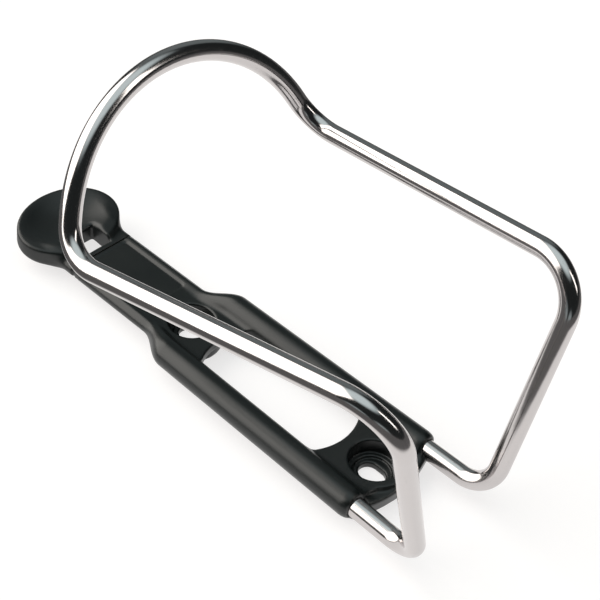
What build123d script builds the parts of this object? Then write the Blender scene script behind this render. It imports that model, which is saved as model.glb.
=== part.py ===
from build123d import *

import math
import os

os.makedirs("parts", exist_ok=True)

# Bottle cage for a bicycle frame, in millimetres. The cage lies on its back: Z = 0 is the face that bears on the
# frame tube and +Z points at the bottle. The origin is midway between the two screw holes, which lie on X.
# +X points at the bottle's bottom, and the part is symmetric about Y = 0.

# Screws: the standard pair, 64 mm apart
HOLE_SPACING = 64.0
SCREW_R = 2.65
SLOT_LENGTH = 7.2
BOSS_R = 8.4
BOSS_TOP = 7.0
BOSS_FLOOR = 2.0
COUNTERBORE_R = 6.3
STEP_R = 4.9
STEP_Z = 2.6

# Bent tube
TUBE_R = 2.5
TUBE_WALL = 0.8
TUBE_END = (-18.0, 12.4, 6.2)
FOOT_CORNER = (56.5, 13.3, 5.5)
TOP_CORNER = (56.4, 31.4, 65.4)
FOOT_BEND = 8.0
TOP_BEND = 12.0
HOOP_BEND = 10.0
HOOP_R = 39.4
HOOP_X = -27.9
HOOP_Z = 45.1
HOOP_LEAN = 23.2
HOOP_HALF_ANGLE = 65.2
HOOP_LEG = 9.5

# Base moulding
RAIL_R = 3.8
RAIL_START = -27.5
RAIL_END = 37.6
MOUTH_LENGTH = 2.4
MOUTH_DROP = 0.9
SOCKET_SQUEEZE = 0.02
TONGUE_START = -39.0
TONGUE_END = -67.7
EDGE_R = 1.95
EDGE_Y = 8.9
EDGE_Z = 5.7
PLATE_BOTTOM = 4.4
PLATE_TOP = 7.0
TONGUE_TOP = 7.4
PANEL_FLOOR = 7.2
PANEL_HALF_WIDTH = 8.4
PANEL_START = -43.0
PANEL_END = -64.9
WINDOW_START = -22.0
WINDOW_END = 22.3
WINDOW_BOW = 6.5
END_X = 41.1
END_SIDE_X = 38.0
END_SIDE_Y = 13.2
END_WALL = 3.6
END_BOTTOM = 1.8
END_TOP = 6.0
END_ROUND = 1.5
PLATE_INSET = 2.4
SHOULDER_SECTIONS = 7

# Button on the tongue's end, which rocks on a moulded bead
HINGE_X = -66.8
BEAD_R = 1.3
BEAD_CLEARANCE = 0.06
BEAD_HALF_LENGTH = 10.3
BEAD_WEB = 1.2
NECK_FACE = -68.1
RAMP_START = -71.0
RAMP_END = -77.5
RAMP_TOP = 9.4
BUTTON_X = -82.1
BUTTON_Z = 10.0
BUTTON_HALF_LENGTH = 12.0
BUTTON_HALF_WIDTH = 15.4
BUTTON_THICKNESS = 5.3
BUTTON_LEAN = 6.0
BUTTON_UPPER_ROUND = 0.7
BUTTON_LOWER_ROUND = 1.8
DISH_X = -2.6
DISH_DEPTH = 1.6
DISH_HALF_LENGTH = 8.4
DISH_HALF_WIDTH = 11.4
EYE_START = -69.5
EYE_END = -77.5
EYE_HALF_WIDTH = 4.3


def along_rail(x, side):
    """Point of the tube's straight end at one X, which is also the rail's centre."""
    share = (x - TUBE_END[0]) / (FOOT_CORNER[0] - TUBE_END[0])
    y = TUBE_END[1] + share * (FOOT_CORNER[1] - TUBE_END[1])
    z = TUBE_END[2] + share * (FOOT_CORNER[2] - TUBE_END[2])
    return Vector(x, side * y, z)


def hoop_point(angle):
    """Point of the hoop's centreline at an angle from its top, in a plane that leans away from the legs."""
    lean = math.radians(HOOP_LEAN)
    turn = math.radians(angle)
    up = HOOP_R * math.cos(turn)
    return Vector(HOOP_X - up * math.sin(lean), HOOP_R * math.sin(turn), HOOP_Z + up * math.cos(lean))


def hoop_corner(side):
    """Corner between a run and the hoop, on the hoop's tangent."""
    lean = math.radians(HOOP_LEAN)
    turn = math.radians(HOOP_HALF_ANGLE)
    down = Vector(math.sin(turn) * math.sin(lean), side * math.cos(turn), -math.sin(turn) * math.cos(lean))
    return hoop_point(side * HOOP_HALF_ANGLE) + down * HOOP_LEG


def tube_side(side):
    """Centreline of one side: stub, leg, run and the start of the hoop, joined by bends."""
    corners = [
        along_rail(TUBE_END[0], side),
        along_rail(FOOT_CORNER[0], side),
        Vector(TOP_CORNER[0], side * TOP_CORNER[1], TOP_CORNER[2]),
        hoop_corner(side),
        hoop_point(side * HOOP_HALF_ANGLE),
    ]
    return FilletPolyline(*corners, radius=[FOOT_BEND, TOP_BEND, HOOP_BEND])


def tube_loop():
    """One hollow tube from socket to socket."""
    near = tube_side(-1)
    far = tube_side(1)
    hoop = ThreePointArc(*(hoop_point(angle) for angle in (-HOOP_HALF_ANGLE, 0, HOOP_HALF_ANGLE)))
    path = Wire(near.edges() + hoop.edges() + far.edges())
    start = Plane(origin=path @ 0, z_dir=path % 0)
    section = start * (Circle(TUBE_R) - Circle(TUBE_R - TUBE_WALL))
    return sweep(section, path=path)


def rod(start, end, radius):
    """Round bar between two points."""
    line = Line(start, end)
    return sweep(Plane(origin=line @ 0, z_dir=line % 0) * Circle(radius), path=line)


def rail(side):
    """Round sleeve over one end of the tube, drawn in along a quarter ellipse at its mouth."""
    start = along_rail(RAIL_START, side)
    run = along_rail(RAIL_END, side) - start
    straight = run.length - MOUTH_LENGTH
    inner = RAIL_R - MOUTH_DROP
    profile = [
        Polyline((inner, run.length), (0, run.length), (0, 0), (RAIL_R, 0), (RAIL_R, straight)),
        EllipticalCenterArc((inner, straight), MOUTH_DROP, MOUTH_LENGTH, start_angle=0, arc_size=90),
    ]
    upright = revolve(Plane.XZ * make_face(profile), Axis.Z, 360)
    return Plane(origin=start, z_dir=run) * upright


def shoulder(side):
    """Rail thinning into the tongue's edge along an S-curve."""
    begin = along_rail(RAIL_START, side)
    sections = []
    for i in range(SHOULDER_SECTIONS):
        share = i / (SHOULDER_SECTIONS - 1)
        ease = share * share * (3 - 2 * share)
        slope = 6 * share * (1 - share)
        x = RAIL_START + share * (TONGUE_START - RAIL_START)
        y = begin.Y + ease * (side * EDGE_Y - begin.Y)
        z = begin.Z + ease * (EDGE_Z - begin.Z)
        dy = slope * (side * EDGE_Y - begin.Y)
        dz = slope * (EDGE_Z - begin.Z)
        place = Plane(origin=(x, y, z), z_dir=(TONGUE_START - RAIL_START, dy, dz))
        sections.append(place * Circle(RAIL_R + ease * (EDGE_R - RAIL_R)))
    return loft(sections)


def tongue_edge(side):
    """Round edge along one side of the tongue."""
    return rod((TONGUE_START, side * EDGE_Y, EDGE_Z), (TONGUE_END, side * EDGE_Y, EDGE_Z), EDGE_R)


def end_wall():
    """Bowed wall that joins the rails' mouths round the lower boss, its outer edges rounded."""
    outer = ThreePointArc((END_SIDE_X, -END_SIDE_Y), (END_X, 0), (END_SIDE_X, END_SIDE_Y))
    back = END_SIDE_X - END_WALL
    inner = ThreePointArc((back, END_SIDE_Y), (END_X - END_WALL, 0), (back, -END_SIDE_Y))
    band = make_face([outer, Line(outer @ 1, inner @ 0), inner, Line(inner @ 1, outer @ 0)])
    wall = extrude(Plane.XY.offset(END_BOTTOM) * band, END_TOP - END_BOTTOM)
    brow = wall.faces().sort_by(Axis.Z)[-1].edges().filter_by(GeomType.CIRCLE).sort_by(Axis.X)[-1]
    return fillet(brow, END_ROUND)


def webs():
    """Flat plate between the rails and in the tongue."""
    rail_y = TUBE_END[1]
    right = [
        (TONGUE_END, EDGE_Y),
        (TONGUE_START, EDGE_Y),
        (RAIL_START, rail_y),
        (RAIL_END - MOUTH_LENGTH, rail_y),
    ]
    left = [(x, -y) for x, y in reversed(right)]
    outline = make_face(Polyline(*right, (END_X - PLATE_INSET, 0), *left, close=True))
    return extrude(Plane.XY.offset(PLATE_BOTTOM) * outline, PLATE_TOP - PLATE_BOTTOM)


def tongue_block(start, bottom, top):
    """Block across the tongue from one X to its end."""
    size = (start - TONGUE_END, 2 * EDGE_Y, top - bottom)
    return Pos(TONGUE_END, 0, bottom) * Box(*size, align=(Align.MIN, Align.CENTER, Align.MIN))


def hinge_rod(radius, half_length):
    return rod((HINGE_X, -half_length, EDGE_Z), (HINGE_X, half_length, EDGE_Z), radius)


def panel():
    """Cutter for the shallow sunken panel between the tongue's edges."""
    middle = (PANEL_START + PANEL_END) / 2
    size = (PANEL_START - PANEL_END, 2 * PANEL_HALF_WIDTH, 2 * EDGE_R)
    return Pos(middle, 0, PANEL_FLOOR) * Box(*size, align=(Align.CENTER, Align.CENTER, Align.MIN))


def window():
    """Cutter for the opening between the rails: straight sides inside the rails, bowed ends."""
    half = TUBE_END[1]
    low = WINDOW_START + WINDOW_BOW
    high = WINDOW_END - WINDOW_BOW
    ends = [
        ThreePointArc((low, -half), (WINDOW_START, 0), (low, half)),
        Line((low, half), (high, half)),
        ThreePointArc((high, half), (WINDOW_END, 0), (high, -half)),
        Line((high, -half), (low, -half)),
    ]
    return extrude(make_face(ends), 2 * BOSS_TOP)


def boss(x):
    return Pos(x, 0, 0) * Cylinder(BOSS_R, BOSS_TOP, align=(Align.CENTER, Align.CENTER, Align.MIN))


def screw_seat(x):
    """Cutter for a stepped counterbore with a slot in its floor."""
    upright = (Align.CENTER, Align.CENTER, Align.MIN)
    seat = Pos(x, 0, STEP_Z) * Cylinder(COUNTERBORE_R, 2 * BOSS_TOP, align=upright)
    step = Pos(x, 0, BOSS_FLOOR) * Cylinder(STEP_R, BOSS_TOP, align=upright)
    slot = Pos(x, 0, -BOSS_FLOOR) * SlotOverall(SLOT_LENGTH, 2 * SCREW_R)
    return seat + step + extrude(slot, 3 * BOSS_FLOOR)


def socket(side):
    """Blind hole for the tube's end, a press fit."""
    outside = along_rail(END_X, side)
    return rod(along_rail(TUBE_END[0], side), outside, TUBE_R - SOCKET_SQUEEZE)


def base():
    """The whole moulding: plate first, then what stands on it, then what is cut out of it."""
    holes = (-HOLE_SPACING / 2, HOLE_SPACING / 2)
    solid = webs() + end_wall() - window()
    for side in (-1, 1):
        solid += rail(side) + shoulder(side) + tongue_edge(side)
    solid += tongue_block(TONGUE_START, PLATE_BOTTOM, TONGUE_TOP)
    solid += tongue_block(PANEL_END, EDGE_Z - EDGE_R, EDGE_Z + EDGE_R)
    solid += boss(holes[0]) + boss(holes[1])
    solid -= screw_seat(holes[0]) + screw_seat(holes[1])
    solid -= panel() + hinge_rod(BEAD_R + BEAD_CLEARANCE, BEAD_HALF_LENGTH + 2 * EDGE_R)
    for side in (-1, 1):
        solid -= socket(side)
    return solid


def button_face():
    """Plane of the button's face, its tip raised."""
    lean = math.radians(BUTTON_LEAN)
    return Plane(
        origin=(BUTTON_X, 0, BUTTON_Z),
        x_dir=(math.cos(lean), 0, -math.sin(lean)),
        z_dir=(math.sin(lean), 0, math.cos(lean)),
    )


def button_disc():
    """Oval disc with rounded edges."""
    disc = extrude(Ellipse(BUTTON_HALF_LENGTH, BUTTON_HALF_WIDTH), -BUTTON_THICKNESS)
    disc = fillet(disc.faces().sort_by(Axis.Z)[0].edges(), BUTTON_LOWER_ROUND)
    disc = fillet(disc.faces().sort_by(Axis.Z)[-1].edges(), BUTTON_UPPER_ROUND)
    return button_face() * disc


def dish():
    """Cutter for the shallow hollow in the button's face: an arc across it, swung along a second arc."""
    swing = DISH_HALF_LENGTH**2 / (2 * DISH_DEPTH)
    top = DISH_DEPTH / 2
    reach = DISH_HALF_WIDTH * math.sqrt(1 + top / DISH_DEPTH)
    arc = ThreePointArc((0, -reach, top), (0, 0, -DISH_DEPTH), (0, reach, top))
    segment = make_face([arc, Line((0, reach, top), (0, -reach, top))])
    ring = revolve(segment, Axis((0, 0, swing - DISH_DEPTH), (0, 1, 0)), 360)
    return button_face() * Pos(DISH_X, 0, 0) * ring


def neck():
    """Ramp from the hinge up to the disc, with round edges that carry on the tongue's."""
    low = EDGE_Z - EDGE_R
    high = EDGE_Z + EDGE_R
    profile = make_face(
        Polyline(
            (NECK_FACE, low),
            (NECK_FACE, high),
            (RAMP_START, high),
            (RAMP_END, RAMP_TOP),
            (RAMP_END, low),
            close=True,
        )
    )
    ramp = extrude(Plane.XZ * profile, EDGE_Y, both=True)
    for side in (-1, 1):
        ramp += rod((NECK_FACE, side * EDGE_Y, EDGE_Z), (BUTTON_X, side * EDGE_Y, EDGE_Z), EDGE_R)
    return ramp


def eye():
    """Cutter for the oblong opening through the neck."""
    middle = (EYE_START + EYE_END) / 2
    return Pos(middle, 0, BUTTON_Z) * Box(EYE_START - EYE_END, 2 * EYE_HALF_WIDTH, 2 * BUTTON_Z)


def button():
    """Disc, neck and the bead that snaps into the tongue's groove."""
    web_length = HINGE_X - NECK_FACE
    web = Pos(HINGE_X - web_length / 2, 0, EDGE_Z) * Box(web_length, 2 * BEAD_HALF_LENGTH, BEAD_WEB)
    solid = neck() + button_disc() - dish() - eye()
    return solid + web + hinge_rod(BEAD_R, BEAD_HALF_LENGTH)


parts = {"tube_loop": tube_loop(), "base": base(), "button": button()}
for name, shape in parts.items():
    export_step(shape, f"parts/{name}.step")
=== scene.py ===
"""Bottle cage in its studio: the bent tube, the moulded base and the catch button, with their finishes.

Everything is in metres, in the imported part's own frame: +X toward the bottle's bottom, +Z away from the
bicycle.
"""

import math

import bpy
import numpy as np
from mathutils import Matrix, Vector


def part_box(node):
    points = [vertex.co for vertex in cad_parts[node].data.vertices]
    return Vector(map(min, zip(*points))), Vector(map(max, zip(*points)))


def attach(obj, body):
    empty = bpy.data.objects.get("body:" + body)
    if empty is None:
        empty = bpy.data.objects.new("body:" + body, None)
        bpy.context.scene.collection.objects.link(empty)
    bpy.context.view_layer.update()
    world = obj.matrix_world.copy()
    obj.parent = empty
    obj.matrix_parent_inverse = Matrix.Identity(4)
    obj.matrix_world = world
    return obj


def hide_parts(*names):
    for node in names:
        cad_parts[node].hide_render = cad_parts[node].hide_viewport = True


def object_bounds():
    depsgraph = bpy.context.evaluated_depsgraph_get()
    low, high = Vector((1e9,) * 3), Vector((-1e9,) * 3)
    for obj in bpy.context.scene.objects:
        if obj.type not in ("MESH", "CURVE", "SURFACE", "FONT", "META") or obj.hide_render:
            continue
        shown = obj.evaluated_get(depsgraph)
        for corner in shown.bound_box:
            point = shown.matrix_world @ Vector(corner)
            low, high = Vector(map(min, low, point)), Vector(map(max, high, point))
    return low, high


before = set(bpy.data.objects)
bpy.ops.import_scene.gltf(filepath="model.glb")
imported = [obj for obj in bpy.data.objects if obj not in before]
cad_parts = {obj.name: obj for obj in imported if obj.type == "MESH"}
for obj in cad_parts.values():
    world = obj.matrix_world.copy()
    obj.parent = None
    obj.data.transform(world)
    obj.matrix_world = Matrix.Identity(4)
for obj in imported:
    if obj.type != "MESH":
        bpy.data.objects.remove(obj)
cad_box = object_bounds()

MM = 0.001

# Bent tube, along its centreline from one socket to the other
TUBE_R = 2.5 * MM
TUBE_END = np.array((-18.0, 12.4, 6.2)) * MM
FOOT_CORNER = np.array((56.5, 13.3, 5.5)) * MM
TOP_CORNER = np.array((56.4, 31.4, 65.4)) * MM
FOOT_BEND = 8.0 * MM
TOP_BEND = 12.0 * MM
HOOP_BEND = 10.0 * MM
HOOP_R = 39.4 * MM
HOOP_CENTRE = np.array((-27.9, 0.0, 45.1)) * MM
HOOP_LEAN = math.radians(23.2)
HOOP_HALF_ANGLE = math.radians(65.2)
HOOP_LEG = 9.5 * MM
TUBE_STEP = 0.45 * MM
TUBE_SIDES = 64
CAGE_MIDDLE = np.array((10.0, 0.0, 35.0)) * MM

# Moulded base: rails, tongue, screw bosses and the wall at its lower end, the same on both sides of Y = 0
HOLE_X = 32.0 * MM
RAIL_R = 3.8 * MM
RAIL_START = -27.5 * MM
RAIL_END = 37.6 * MM
MOUTH_LENGTH = 2.4 * MM
MOUTH_DROP = 0.9 * MM
TONGUE_START = -39.0 * MM
TONGUE_END = -67.7 * MM
EDGE_R = 1.95 * MM
EDGE_Y = 8.9 * MM
EDGE_Z = 5.7 * MM
PLATE_BOTTOM = 4.4 * MM
PLATE_TOP = 7.0 * MM
TONGUE_TOP = 7.4 * MM
TONGUE_RISE = (-42.0 * MM, -36.0 * MM)
PANEL_START = -43.0 * MM
PANEL_END = -67.0 * MM
PANEL_HALF_WIDTH = 7.6 * MM
PANEL_DEPTH = 0.12 * MM
STOP_START = -64.9 * MM
BOSS_R = 8.4 * MM
BOSS_TOP = 7.0 * MM
BOSS_FLOOR = 2.0 * MM
COUNTERBORE_R = 6.3 * MM
STEP_R = 4.9 * MM
STEP_Z = 2.6 * MM
SCREW_R = 2.65 * MM
SLOT_HALF = 0.95 * MM
WINDOW_START = -22.0 * MM
WINDOW_END = 22.3 * MM
WINDOW_BOW_R = 15.08 * MM
END_X = 41.1 * MM
END_BOW_R = 29.7 * MM
END_WALL = 3.6 * MM
END_BOTTOM = 1.5 * MM
END_TOP = 6.0 * MM
END_ROUND = 0.8 * MM
PLATE_INSET = 2.4 * MM
END_SLANT = -0.12

# Fillets between the base's shapes, and the rounds on its edges
WALL_FILLET = 3.0 * MM
PLATE_FILLET = 1.2 * MM
STOP_FILLET = 0.4 * MM
MOUTH_ROUND = 0.5 * MM
WINDOW_ROUND = 0.5 * MM
BOSS_ROUND = 0.3 * MM
SEAT_ROUND = 0.35 * MM
STEP_ROUND = 0.3 * MM
SLOT_ROUND = 0.4 * MM
PANEL_CORNER = 1.0 * MM
PANEL_ROUND = 0.15 * MM
GROOVE_ROUND = 0.15 * MM
SOCKET_ROUND = 0.25 * MM

# Catch button: disc, neck with its eye, and the bead in the tongue's groove
HINGE_X = -66.8 * MM
GROOVE_R = 1.36 * MM
BEAD_R = 1.3 * MM
BEAD_HALF_LENGTH = 10.3 * MM
BEAD_WEB = 1.2 * MM
NECK_FACE = -68.1 * MM
RAMP = (-77.5 * MM, -71.0 * MM)
RAMP_TOP = 9.4 * MM
BUTTON_X = -82.1 * MM
BUTTON_Z = 10.0 * MM
BUTTON_HALF_LENGTH = 11.9 * MM
BUTTON_HALF_WIDTH = 15.4 * MM
BUTTON_THICKNESS = 5.9 * MM
BUTTON_LEAN = math.radians(6.0)
BUTTON_UPPER_ROUND = 0.7 * MM
BUTTON_LOWER_ROUND = 1.8 * MM
DISH_X = -2.0 * MM
DISH_DEPTH = 1.9 * MM
DISH_HALF_LENGTH = 9.3 * MM
DISH_HALF_WIDTH = 12.4 * MM
EYE_START = -69.5 * MM
EYE_END = -77.5 * MM
EYE_HALF_WIDTH = 4.3 * MM
BUTTON_BLEND = 2.6 * MM
NECK_ROUND = 1.9 * MM
NECK_EDGE = 0.25 * MM
EYE_CORNER = 0.6 * MM
EYE_BLEND = 1.6 * MM
DISH_EDGE = 0.6 * MM
WEB_ROUND = 0.1 * MM

# Grid of the moulded pieces' surfaces: its step and the margin round them. Newton steps: their number, the
# reach that a slope is taken over, and the least squared slope
CELL = 0.36 * MM
MARGIN = 0.8 * MM
NEWTON_STEPS = 3
SLOPE_REACH = CELL / 10
LEAST_SLOPE = 0.2

# Finishes: colours, noise scales per metre, bump depths, and the noise values between which marks fade in
STEEL = (0.58, 0.55, 0.545, 1.0)
RUBBED_STEEL = (0.42, 0.40, 0.39, 1.0)
LINE_STRETCH = 0.02
LINE_SCALE = 9000.0
LINE_DEPTH = 0.004 * MM
MARK_STRETCH = 0.35
MARK_SCALE = 1400.0
MARK_EDGE = (0.62, 0.78)
WAVE_SCALE = 160.0
WAVE_DEPTH = 0.2 * MM
NYLON = (0.0032, 0.0052, 0.0050, 1.0)
PALE_NYLON = (0.0085, 0.0100, 0.0095, 1.0)
BASE_ROUGHNESS = 0.27
BUTTON_ROUGHNESS = 0.31
GRAIN_SCALE = 5200.0
GRAIN_DEPTH = 0.02 * MM
CLOUD_SCALE = 120.0
SCUFF_SCALE = 900.0
SCUFF_EDGE = (0.60, 0.82)
BEVEL_R = 0.4 * MM

# Camera, at the distance and the lens that give the object's perspective
TARGET = Vector((0.84, 3.44, 35.51)) * MM
AZIMUTH = math.radians(39.19)
ELEVATION = math.radians(43.04)
ROLL = math.radians(6.36)
DISTANCE = 308.49 * MM
LENS_MM = 78.03
SENSOR_MM = 36.0

# Room: brightness of its dark walls and of its ceiling, and the heights between which the ceiling
# brightens. Its paler lobes each have azimuth from +X, elevation, inner and outer angle, and brightness
ROOM_DARK = 0.02
CEILING_GLOW = 0.9
CEILING_HEIGHT = (0.74, 0.96)
ROOM_LOBES = (
    (-45.0, -8.0, 8.0, 22.0, 0.40),
    (-85.0, -8.0, 8.0, 22.0, 0.40),
    (130.0, 25.0, 14.0, 34.0, 0.18),
)

# Soft rectangles of light: azimuth, elevation, half width and half height as slopes, softness of the
# sides and the foot, softness of the top, and brightness
SOFTBOXES = (
    (-150.0, 33.0, 0.75, 0.62, 0.10, 0.30, 3.2),
    (30.0, 37.0, 0.07, 0.32, 0.25, 0.25, 3.4),
)
LEAST_AHEAD = 0.01
COOL_LIGHT = (0.86, 1.0, 1.02, 1.0)
WARM_LIGHT = (1.0, 0.97, 0.92, 1.0)

# Floor: the sheet's paper colours and its own even glow. Its painted dark reflection: glossy rays alone see
# the sheet pale inside an oval with this middle, stretch and edge, and black with a dim glow beyond it
FLOOR_HALF = 3.0
FLOOR_DROP = 0.05 * MM
SHEET = (0.34, 0.335, 0.335, 1.0)
PALE_SHEET = (0.38, 0.375, 0.375, 1.0)
# painted dark reflection: the black colour and the dim glow that glossy rays see beyond the oval
PAINTED_REFLECTION_BLACK = (0.0, 0.0, 0.0, 1.0)
TOOTH_SCALE = 900.0
SHEET_GLOW = (0.72, 0.7092, 0.7056, 1.0)
PAINTED_REFLECTION_GLOW = (0.13, 0.12805, 0.1274, 1.0)
PAINTED_REFLECTION_MIDDLE = (0.04, 0.04)
PAINTED_REFLECTION_STRETCH = 1.2
PAINTED_REFLECTION_EDGE = (0.13, 0.17)


class Socket:
    """A shader socket whose + - * / build Math nodes, so that a pattern is written as a formula."""

    def __init__(self, material, link):
        self.material = material
        self.link = link

    def _math(self, operation, other=None, swap=False):
        pair = (other, self) if swap else (self, other)
        return self.material.node("ShaderNodeMath", {"operation": operation}, dict(enumerate(pair)))

    def __add__(self, other):
        return self._math("ADD", other)

    __radd__ = __add__

    def __mul__(self, other):
        return self._math("MULTIPLY", other)

    __rmul__ = __mul__

    def __sub__(self, other):
        return self._math("SUBTRACT", other)

    def __rsub__(self, other):
        return self._math("SUBTRACT", other, swap=True)

    def __truediv__(self, other):
        return self._math("DIVIDE", other)

    def __rtruediv__(self, other):
        return self._math("DIVIDE", other, swap=True)

    def __pow__(self, other):
        return self._math("POWER", other)

    def sine(self):
        return self._math("SINE")

    def cosine(self):
        return self._math("COSINE")

    def most(self, other):
        return self._math("MAXIMUM", other)

    def ramp(self, low, high):
        """0 below low, 1 above high, smooth between."""
        sockets = {"Value": self, "From Min": low, "From Max": high}
        return self.material.node("ShaderNodeMapRange", {"interpolation_type": "SMOOTHSTEP"}, sockets)


class Nodes:
    """The node tree of one material or of the world."""

    def __init__(self, tree):
        self.tree = tree
        tree.nodes.clear()

    def node(self, kind, settings=(), sockets=(), output=0):
        """Adds a node: its settings first, then the values or links of its sockets; returns one output."""
        made = self.tree.nodes.new(kind)
        for name, value in dict(settings).items():
            setattr(made, name, value)
        for name, value in dict(sockets).items():
            if value is None:
                continue
            if isinstance(value, Socket):
                self.tree.links.new(value.link, made.inputs[name])
            else:
                made.inputs[name].default_value = value
        return Socket(self, made.outputs[output]) if made.outputs else None

    def vector(self, x, y, z):
        return self.node("ShaderNodeCombineXYZ", {}, {"X": x, "Y": y, "Z": z})

    def parts(self, vector):
        made = self.tree.nodes.new("ShaderNodeSeparateXYZ")
        self.tree.links.new(vector.link, made.inputs[0])
        return [Socket(self, output) for output in made.outputs]

    def dot(self, vector, direction):
        sockets = {0: vector, 1: direction}
        return self.node("ShaderNodeVectorMath", {"operation": "DOT_PRODUCT"}, sockets, "Value")

    def noise(self, vector, scale, detail=2.0, roughness=0.5):
        sockets = {"Vector": vector, "Scale": scale, "Detail": detail, "Roughness": roughness}
        return self.node("ShaderNodeTexNoise", {}, sockets)

    def mix(self, share, low, high):
        """Colour mix from low to high."""
        sockets = {"Factor": share, 6: low, 7: high}
        return self.node("ShaderNodeMix", {"data_type": "RGBA"}, sockets, 2)

    def bump(self, height, distance, strength=1.0, normal=None):
        sockets = {"Height": height, "Distance": distance, "Strength": strength, "Normal": normal}
        return self.node("ShaderNodeBump", {}, sockets)

    def place(self, name="Object"):
        return self.node("ShaderNodeTexCoord", {}, {}, name)


def new_material(name):
    """A new material, its nodes, and a function that adds its Principled shader: each keyword names a
    socket, with _ for a space, and holds its value or link."""
    material = bpy.data.materials.new(name)
    material.use_nodes = True
    nodes = Nodes(material.node_tree)

    def shade(**values):
        named = {key.replace("_", " "): value for key, value in values.items()}
        shader = nodes.node("ShaderNodeBsdfPrincipled", {}, named)
        nodes.node("ShaderNodeOutputMaterial", {}, {"Surface": shader})

    return material, nodes, shade


def polished_steel():
    """Stainless tube: bright, with fine lines drawn along it, faint waviness, and a few rub marks."""
    material, nodes, shade = new_material("polished stainless tube")
    along, around, _ = nodes.parts(nodes.place("UV"))
    turn = around * (2 * math.pi)
    side = turn.cosine() * TUBE_R
    front = turn.sine() * TUBE_R
    lines = nodes.noise(nodes.vector(along * LINE_STRETCH, side, front), LINE_SCALE, 3.0)
    marks = nodes.noise(nodes.vector(along * MARK_STRETCH, side, front), MARK_SCALE, 4.0, 0.6)
    waves = nodes.noise(nodes.place(), WAVE_SCALE, 1.0)
    rubbed = marks.ramp(*MARK_EDGE)
    shade(
        Base_Color=nodes.mix(rubbed * 0.35, STEEL, RUBBED_STEEL),
        Metallic=1.0,
        Roughness=0.10 + lines * 0.07 + rubbed * 0.12,
        Normal=nodes.bump(lines, LINE_DEPTH, 0.35, nodes.bump(waves, WAVE_DEPTH, 0.12)),
    )
    return material


def black_nylon(name, roughness):
    """Moulded black nylon: soft sheen, fine spark-eroded grain, slightly paler where it is handled."""
    material, nodes, shade = new_material(name)
    spot = nodes.place()
    grain = nodes.noise(spot, GRAIN_SCALE, 3.0, 0.6)
    cloud = nodes.noise(spot, CLOUD_SCALE, 3.0)
    scuff = nodes.noise(spot, SCUFF_SCALE, 5.0, 0.65).ramp(*SCUFF_EDGE)
    edge = nodes.node("ShaderNodeBevel", {"samples": 6}, {"Radius": BEVEL_R})
    shade(
        Base_Color=nodes.mix(cloud * 0.5 + scuff * 0.25, NYLON, PALE_NYLON),
        Roughness=roughness + cloud * 0.08 + scuff * 0.10,
        Specular_IOR_Level=0.5,
        Normal=nodes.bump(grain, GRAIN_DEPTH, 0.35, edge),
    )
    return material


def floor_white():
    """Seamless pale sheet with a slight paper tooth and an even glow of its own. Glossy rays alone see a
    painted dark reflection on it: pale inside an oval round the object, black with a dim glow beyond."""
    material, nodes, shade = new_material("pale studio sheet")
    spot = nodes.place()
    tooth = nodes.noise(spot, TOOTH_SCALE, 2.0)
    x, y, _ = nodes.parts(spot)
    reach = ((x - PAINTED_REFLECTION_MIDDLE[0]) ** 2 + ((y - PAINTED_REFLECTION_MIDDLE[1]) * PAINTED_REFLECTION_STRETCH) ** 2) ** 0.5
    # painted dark reflection: glossy rays alone see the floor black, with a dim glow, beyond the oval
    painted_dark_reflection = reach.ramp(*PAINTED_REFLECTION_EDGE) * nodes.node("ShaderNodeLightPath", output="Is Glossy Ray")
    shade(
        Base_Color=nodes.mix(painted_dark_reflection, nodes.mix(tooth, SHEET, PALE_SHEET), PAINTED_REFLECTION_BLACK),
        Roughness=0.9,
        Specular_IOR_Level=0.0,
        Emission_Color=nodes.mix(painted_dark_reflection, SHEET_GLOW, PAINTED_REFLECTION_GLOW),
        Emission_Strength=1.0,
    )
    return material


def unit(vector):
    """Vectors divided by their lengths."""
    return vector / np.linalg.norm(vector, axis=-1, keepdims=True)


def rounded_path(corners, radii, step):
    """Straight runs joined by tangent arcs: at each corner an arc of the given radius, which leaves the
    runs at radius * tan(half the turn) from the corner. Points are a step apart."""
    points = []
    previous = corners[0]
    for before, corner, after, radius in zip(corners, corners[1:], corners[2:], radii):
        arrive = unit(corner - before)
        leave = unit(after - corner)
        turn = math.acos(float(arrive @ leave))
        cut = radius * math.tan(turn / 2)
        start = corner - arrive * cut
        inward = unit(leave - arrive * (leave @ arrive))
        count = max(2, round(float(np.linalg.norm(start - previous)) / step))
        share = np.linspace(0, 1, count, endpoint=False)[:, None]
        points.append(previous + (start - previous) * share)
        angle = np.linspace(0, turn, max(4, round(radius * turn / step)), endpoint=False)[:, None]
        points.append(start + inward * radius * (1 - np.cos(angle)) + arrive * radius * np.sin(angle))
        previous = corner + leave * cut
    count = max(2, round(float(np.linalg.norm(corners[-1] - previous)) / step))
    share = np.linspace(0, 1, count, endpoint=False)[:, None]
    points.append(previous + (corners[-1] - previous) * share)
    return np.concatenate(points)


def hoop_points(angles):
    """Circle of radius HOOP_R in a plane that leans by HOOP_LEAN; angle 0 is its top."""
    up = HOOP_R * np.cos(angles)
    rise = np.stack([-up * math.sin(HOOP_LEAN), HOOP_R * np.sin(angles), up * math.cos(HOOP_LEAN)], -1)
    return HOOP_CENTRE + rise


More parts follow.
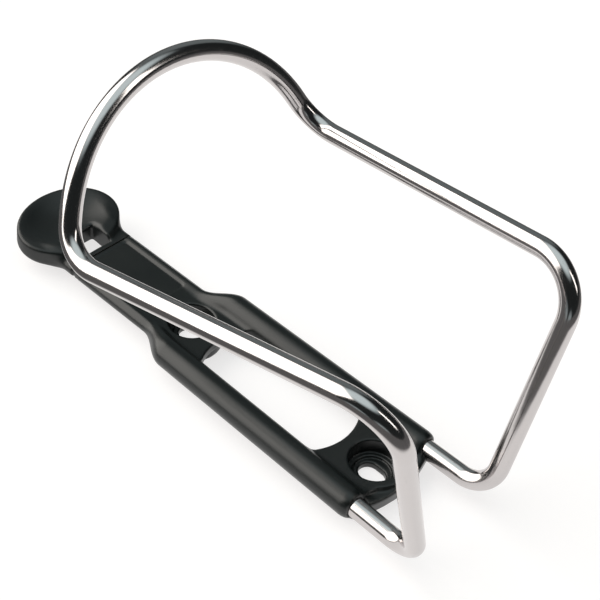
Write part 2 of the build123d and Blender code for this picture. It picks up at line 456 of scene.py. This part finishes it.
def tube_line():
    """Centreline of the whole tube: one side's runs and bends, the hoop, and the first side mirrored."""
    end = hoop_points(np.array([HOOP_HALF_ANGLE]))[0]
    down = np.array(
        (
            math.sin(HOOP_HALF_ANGLE) * math.sin(HOOP_LEAN),
            math.cos(HOOP_HALF_ANGLE),
            -math.sin(HOOP_HALF_ANGLE) * math.cos(HOOP_LEAN),
        )
    )
    corners = [TUBE_END, FOOT_CORNER, TOP_CORNER, end + down * HOOP_LEG, end]
    side = rounded_path(corners, [FOOT_BEND, TOP_BEND, HOOP_BEND], TUBE_STEP)
    count = round(2 * HOOP_R * HOOP_HALF_ANGLE / TUBE_STEP)
    hoop = hoop_points(np.linspace(HOOP_HALF_ANGLE, -HOOP_HALF_ANGLE, count))
    return np.concatenate([side, hoop, (side * (1, -1, 1))[::-1]])


def piece_from(name, points, faces, material):
    """Smooth-shaded piece from points and faces."""
    mesh = bpy.data.meshes.new(name)
    mesh.from_pydata(points, [], faces)
    mesh.polygons.foreach_set("use_smooth", np.ones(len(faces), bool))
    mesh.materials.append(material)
    mesh.update()
    piece = bpy.data.objects.new(name, mesh)
    bpy.context.scene.collection.objects.link(piece)
    return piece


def grid_mesh(name, points, material, close_v=True, uv=None):
    """Piece from points on a grid: u runs along the first axis, v along the second. Where v closes on
    itself, both ends of u get a flat cap."""
    rows, columns = points.shape[:2]
    index = np.arange(rows * columns).reshape(rows, columns)
    beside = np.roll(index, -1, 1)
    last = columns if close_v else columns - 1
    corners = (index[:-1], index[1:], beside[1:], beside[:-1])
    faces = np.stack([corner[:, :last] for corner in corners], -1).reshape(-1, 4).tolist()
    if close_v:
        faces += [index[0].tolist(), index[-1][::-1].tolist()]
    piece = piece_from(name, points.reshape(-1, 3), faces, material)
    if uv is not None:
        layer = piece.data.uv_layers.new(name="UVMap")
        corner = np.zeros(len(piece.data.loops), np.int32)
        piece.data.loops.foreach_get("vertex_index", corner)
        layer.data.foreach_set("uv", uv.reshape(-1, 2)[corner].astype(np.float32).ravel())
    return piece


def bent_tube(material):
    """Circle of radius TUBE_R carried along the centreline. At each point the circle's first axis points
    at the middle of the cage, made square to the line, and its second is square to both."""
    line = tube_line()
    gap = np.linalg.norm(np.diff(line, axis=0), axis=1)
    line = line[np.r_[True, gap > TUBE_STEP / 10]]
    length = np.r_[0, np.cumsum(np.linalg.norm(np.diff(line, axis=0), axis=1))]
    forward = unit(np.gradient(line, length, axis=0))
    inward = CAGE_MIDDLE - line
    inward = unit(inward - (inward * forward).sum(1, keepdims=True) * forward)
    across = np.cross(forward, inward)
    turn = np.linspace(0, 2 * math.pi, TUBE_SIDES, endpoint=False)[::-1]
    ring = np.cos(turn)[None, :, None] * inward[:, None] + np.sin(turn)[None, :, None] * across[:, None]
    points = line[:, None] + TUBE_R * ring
    along = np.broadcast_to(length[:, None], points.shape[:2])
    around = np.broadcast_to((turn / (2 * math.pi))[None], points.shape[:2])
    return grid_mesh("bent_tube", points, material, uv=np.stack([along, around], -1))


def ease(value, low, high):
    """0 below low, 1 above high, and 3s^2 - 2s^3 of the share s between."""
    share = np.clip((value - low) / (high - low), 0, 1)
    return share * share * (3 - 2 * share)


def join(a, b, radius):
    """Union of two distances with a fillet: the smaller one, less (radius - |a - b|)^2 / (4 radius) where
    they are within that radius of each other."""
    near = np.maximum(radius - np.abs(a - b), 0)
    return np.minimum(a, b) - near * near / (4 * radius)


def cut(a, b, radius):
    """Shape a without b, the edge between them rounded in the same way."""
    return -join(-a, b, radius)


def slab(x, y, half_x, half_y, radius):
    """Distance to a rectangle about the origin with rounded corners: the length of what sticks out past
    the corner's centre, less its radius."""
    out_x = np.abs(x) - half_x + radius
    out_y = np.abs(y) - half_y + radius
    outside = np.hypot(np.maximum(out_x, 0), np.maximum(out_y, 0))
    inside = np.minimum(np.maximum(out_x, out_y), 0)
    return outside + inside - radius


def side_bar(x, y, z):
    """Rail, shoulder and tongue edge: a round bar whose centre and radius follow X. It is straight along
    the tube, eases over to the tongue, and draws in to its mouth along a quarter ellipse. Its distance is
    divided by the slant where it eases over. Also gives the bar's centre in Y and the tube's in Y and Z."""
    share = (x - TUBE_END[0]) / (FOOT_CORNER[0] - TUBE_END[0])
    rail_y = TUBE_END[1] + share * (FOOT_CORNER[1] - TUBE_END[1])
    rail_z = TUBE_END[2] + share * (FOOT_CORNER[2] - TUBE_END[2])
    thin = 1 - ease(x, TONGUE_START, RAIL_START)
    centre_y = rail_y + thin * (EDGE_Y - rail_y)
    centre_z = rail_z + thin * (EDGE_Z - rail_z)
    mouth = np.clip((x - RAIL_END + MOUTH_LENGTH) / MOUTH_LENGTH, 0, 1)
    radius = RAIL_R + thin * (EDGE_R - RAIL_R) - MOUTH_DROP * (1 - np.sqrt(1 - mouth**2))
    slant = 6 * thin * (1 - thin) * (rail_y - EDGE_Y) / (RAIL_START - TONGUE_START)
    bar = (np.hypot(y - centre_y, z - centre_z) - radius) / np.hypot(1, slant)
    return cut(bar, RAIL_END - x, MOUTH_ROUND), centre_y, rail_y, rail_z


def base_distance(x, y, z):
    """Distance to the base's surface, negative inside: plate, end wall, side bars, stop bar and bosses
    joined with fillets, and then the window, seats, slots, panel, hinge groove and tube bores cut out."""
    y = np.abs(y)
    bar, bar_y, rail_y, rail_z = side_bar(x, y, z)
    top = TONGUE_TOP + ease(x, *TONGUE_RISE) * (PLATE_TOP - TONGUE_TOP)
    plate = np.maximum(np.abs(z - (top + PLATE_BOTTOM) / 2) - (top - PLATE_BOTTOM) / 2, y - bar_y)
    bow = END_BOW_R - np.hypot(np.maximum(x - END_X + END_BOW_R, 0), y)
    plate = np.maximum(plate, PLATE_INSET - bow)
    window = np.maximum(
        np.hypot(np.maximum(x - WINDOW_END + WINDOW_BOW_R, 0), y) - WINDOW_BOW_R,
        np.hypot(np.maximum(WINDOW_START + WINDOW_BOW_R - x, 0), y) - WINDOW_BOW_R,
    )
    plate = cut(plate, window, WINDOW_ROUND)
    height = END_TOP - END_BOTTOM
    face = bow - END_SLANT * (z - END_BOTTOM)
    wall = slab(face - END_WALL / 2, z - END_BOTTOM - height / 2, END_WALL / 2, height / 2, END_ROUND)
    outer = join(np.maximum(wall, y - rail_y), bar, WALL_FILLET)
    from_hole = np.hypot(np.abs(x) - HOLE_X, y)
    boss = slab(from_hole, z - BOSS_TOP / 2, BOSS_R, BOSS_TOP / 2, BOSS_ROUND)
    solid = np.minimum(join(plate, outer, PLATE_FILLET), join(boss, outer, PLATE_FILLET))
    solid = np.maximum(solid, TONGUE_END - x)
    stop = np.maximum(np.abs(x - (STOP_START + TONGUE_END) / 2) - (STOP_START - TONGUE_END) / 2, y - EDGE_Y)
    solid = join(solid, np.maximum(stop, np.maximum(z - TONGUE_TOP, EDGE_Z - EDGE_R - z)), STOP_FILLET)
    solid = cut(solid, np.maximum(from_hole - COUNTERBORE_R, STEP_Z - z), SEAT_ROUND)
    solid = cut(solid, np.maximum(from_hole - STEP_R, BOSS_FLOOR - z), STEP_ROUND)
    slot = np.hypot(np.maximum(np.abs(np.abs(x) - HOLE_X) - SLOT_HALF, 0), y) - SCREW_R
    solid = cut(solid, slot, SLOT_ROUND)
    panel_x = x - (PANEL_START + PANEL_END) / 2
    panel = slab(panel_x, y, (PANEL_START - PANEL_END) / 2, PANEL_HALF_WIDTH, PANEL_CORNER)
    solid = cut(solid, np.maximum(panel, TONGUE_TOP - PANEL_DEPTH - z), PANEL_ROUND)
    solid = cut(solid, np.hypot(x - HINGE_X, z - EDGE_Z) - GROOVE_R, GROOVE_ROUND)
    socket = np.maximum(np.hypot(y - rail_y, z - rail_z) - TUBE_R, TUBE_END[0] - x)
    return cut(solid, socket, SOCKET_ROUND)


def button_distance(x, y, z):
    """Distance to the button's surface: an oval disc with rounded edges and the ramped neck, joined with
    a wide fillet; a paraboloid dish that runs into the oblong eye is cut out; then the hinge bead and its
    web are added."""
    along = (x - BUTTON_X) * math.cos(BUTTON_LEAN) - (z - BUTTON_Z) * math.sin(BUTTON_LEAN)
    above = (x - BUTTON_X) * math.sin(BUTTON_LEAN) + (z - BUTTON_Z) * math.cos(BUTTON_LEAN)
    ratio = np.hypot(along / BUTTON_HALF_LENGTH, y / BUTTON_HALF_WIDTH)
    slope = np.hypot(along / BUTTON_HALF_LENGTH**2, y / BUTTON_HALF_WIDTH**2)
    outline = ratio * (ratio - 1) / np.maximum(slope, 1.0)
    half = BUTTON_THICKNESS / 2
    edge = np.where(above > -half, BUTTON_UPPER_ROUND, BUTTON_LOWER_ROUND)
    out = outline + edge
    up = np.abs(above + half) - half + edge
    disc = np.hypot(np.maximum(out, 0), np.maximum(up, 0)) + np.minimum(np.maximum(out, up), 0) - edge
    low = EDGE_Z - EDGE_R
    high = RAMP_TOP + ease(x, *RAMP) * (EDGE_Z + EDGE_R - RAMP_TOP)
    neck = slab(y, z - (low + high) / 2, EDGE_Y + EDGE_R, (high - low) / 2, NECK_ROUND)
    neck = cut(np.maximum(neck, BUTTON_X - x), NECK_FACE - x, NECK_EDGE)
    hollow = 1 - ((along - DISH_X) / DISH_HALF_LENGTH) ** 2 - (y / DISH_HALF_WIDTH) ** 2
    dish = -above - DISH_DEPTH * hollow
    eye_middle = (EYE_START + EYE_END) / 2
    eye = slab(x - eye_middle, y, (EYE_START - EYE_END) / 2, EYE_HALF_WIDTH, EYE_CORNER)
    solid = cut(join(disc, neck, BUTTON_BLEND), join(dish, eye, EYE_BLEND), DISH_EDGE)
    bead = np.maximum(np.hypot(x - HINGE_X, z - EDGE_Z) - BEAD_R, np.abs(y) - BEAD_HALF_LENGTH)
    web_middle = (HINGE_X + NECK_FACE) / 2
    web_half = (HINGE_X - NECK_FACE) / 2 + BEAD_WEB / 4
    web = slab(x - web_middle, z - EDGE_Z, web_half, BEAD_WEB / 2, WEB_ROUND)
    bead = np.minimum(bead, np.maximum(web, np.abs(y) - BEAD_HALF_LENGTH))
    return np.minimum(solid, bead)


def level_surface(distance, low, high):
    """Quads round the surface where a distance is zero. The distance is taken on a grid of cells; each
    cell that the surface crosses gets one point, the mean of the crossings on its twelve edges, and each
    grid edge that the surface crosses gets one quad, between the four cells round it. Newton steps then
    bring the points onto the surface: each moves by minus the distance times its gradient, over the
    gradient squared."""
    axes = [np.arange(a - MARGIN, b + MARGIN + CELL, CELL) for a, b in zip(low, high)]
    values = distance(*np.meshgrid(*axes, indexing="ij", sparse=True))
    shape = np.array(values.shape) - 1
    total = np.zeros((*shape, 3))
    count = np.zeros(shape)
    for axis, start_u, start_v in ((a, u, v) for a in range(3) for u in (0, 1) for v in (0, 1)):
        start = np.roll((0, start_u, start_v), axis)
        stop = start + np.eye(3, dtype=int)[axis]
        a = values[tuple(slice(s, n + s) for s, n in zip(start, shape))]
        b = values[tuple(slice(s, n + s) for s, n in zip(stop, shape))]
        crossed = (a < 0) != (b < 0)
        total[..., axis] += np.where(crossed, a / np.where(crossed, a - b, 1), 0)
        total += crossed[..., None] * start
        count += crossed
    used = count > 0
    index = np.cumsum(used).reshape(used.shape) - 1
    origin = np.array([line[0] for line in axes])
    points = origin + (np.argwhere(used) + total[used] / count[used][:, None]) * CELL
    quads = []
    for axis in range(3):
        order = np.roll((0, 1, 2), -axis)
        inside = values.transpose(order) < 0
        net = index.transpose(order)
        ring = np.stack([net[:, :-1, :-1], net[:, 1:, :-1], net[:, 1:, 1:], net[:, :-1, 1:]], -1)
        here, ahead = inside[:-1, 1:-1, 1:-1], inside[1:, 1:-1, 1:-1]
        quads += [ring[here & ~ahead], ring[~here & ahead][:, ::-1]]
    reach = np.eye(3) * SLOPE_REACH
    for _ in range(NEWTON_STEPS):
        ends = [(distance(*(points + step).T), distance(*(points - step).T)) for step in reach]
        gradient = np.stack([ahead - behind for ahead, behind in ends], -1) / (2 * SLOPE_REACH)
        size = np.maximum((gradient**2).sum(1), LEAST_SLOPE)
        points = points - (distance(*points.T) / size)[:, None] * gradient
    return points, np.concatenate(quads)


def moulding(name, node, distance, material):
    """Piece that stands for one CAD node: its surface is worked out in the node's own box."""
    low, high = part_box(node)
    points, quads = level_surface(distance, low, high)
    piece = piece_from(name, points, quads.tolist(), material)
    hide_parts(node)
    return piece


def heading(azimuth, elevation):
    """Direction at an angle from +X toward +Y, and above the horizon."""
    a, e = math.radians(azimuth), math.radians(elevation)
    return Vector((math.cos(a) * math.cos(e), math.sin(a) * math.cos(e), math.sin(e)))


def softbox(nodes, look, azimuth, elevation, half_width, half_height, soft, soft_top, glow):
    """Rectangle of light far off in one direction. The look direction's slopes sideways and upward from
    its middle are each inside its half size; every edge fades over its softness times the half size."""
    front = heading(azimuth, elevation)
    side = Vector((0, 0, 1)).cross(front).normalized()
    ahead = nodes.dot(look, front).most(LEAST_AHEAD)
    across = nodes.dot(look, side) / ahead
    up = nodes.dot(look, front.cross(side)) / ahead
    inside = 1 - (across * across).ramp((half_width * (1 - soft)) ** 2, (half_width * (1 + soft)) ** 2)
    above_foot = up.ramp(-half_height * (1 + soft), -half_height * (1 - soft))
    below_top = 1 - up.ramp(half_height * (1 - soft_top), half_height * (1 + soft_top))
    return inside * above_foot * below_top * glow


def studio_world():
    """Room round the table: nearly black, with a pale ceiling, grey lobes and two soft rectangles of
    light, whose brightness is one sum of smooth shapes. The room's own light is cool and the rectangles'
    is warm."""
    world = bpy.data.worlds.new("studio")
    world.use_nodes = True
    nodes = Nodes(world.node_tree)
    look = nodes.place("Generated")
    room = nodes.parts(look)[2].ramp(*CEILING_HEIGHT) * CEILING_GLOW + ROOM_DARK
    for azimuth, elevation, inner, outer, glow in ROOM_LOBES:
        edges = math.cos(math.radians(outer)), math.cos(math.radians(inner))
        room = room + nodes.dot(look, heading(azimuth, elevation)).ramp(*edges) * glow
    boxes = sum(softbox(nodes, look, *light) for light in SOFTBOXES)
    tint = nodes.mix(boxes.ramp(0, 1), COOL_LIGHT, WARM_LIGHT)
    background = nodes.node("ShaderNodeBackground", {}, {"Color": tint, "Strength": room + boxes})
    nodes.node("ShaderNodeOutputWorld", {}, {"Surface": background})
    bpy.context.scene.world = world


def camera():
    """Camera that looks at the target from its distance, rolled about its own line of sight."""
    back = Vector(
        (
            math.sin(AZIMUTH) * math.cos(ELEVATION),
            -math.cos(AZIMUTH) * math.cos(ELEVATION),
            math.sin(ELEVATION),
        )
    )
    right = (-back).cross(Vector((0, 0, 1))).normalized()
    up = right.cross(-back)
    rolled_right = right * math.cos(ROLL) + up * math.sin(ROLL)
    rolled_up = up * math.cos(ROLL) - right * math.sin(ROLL)
    lens = bpy.data.cameras.new("camera")
    lens.lens = LENS_MM
    lens.sensor_width = SENSOR_MM
    lens.clip_start = 0.01
    holder = bpy.data.objects.new("camera", lens)
    turn = Matrix((rolled_right, rolled_up, back)).transposed().to_4x4()
    holder.matrix_world = Matrix.Translation(TARGET + back * DISTANCE) @ turn
    bpy.context.scene.collection.objects.link(holder)
    bpy.context.scene.camera = holder


def floor():
    """Square sheet just under the object."""
    corners = np.array([[(-1, -1, 0), (1, -1, 0)], [(-1, 1, 0), (1, 1, 0)]], float) * FLOOR_HALF
    corners[..., 2] = cad_box[0].z - FLOOR_DROP
    sheet = grid_mesh("floor", corners[::-1], floor_white(), close_v=False)


camera()
bpy.context.scene.view_settings.view_transform = "Standard"
studio_world()
floor()
tube = bent_tube(polished_steel())
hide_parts("tube_loop")
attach(tube, "frame")
base = moulding("moulded_base", "base", base_distance, black_nylon("black nylon base", BASE_ROUGHNESS))
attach(base, "frame")
button_nylon = black_nylon("black nylon button", BUTTON_ROUGHNESS)
button = moulding("catch_button", "button", button_distance, button_nylon)
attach(button, "catch")
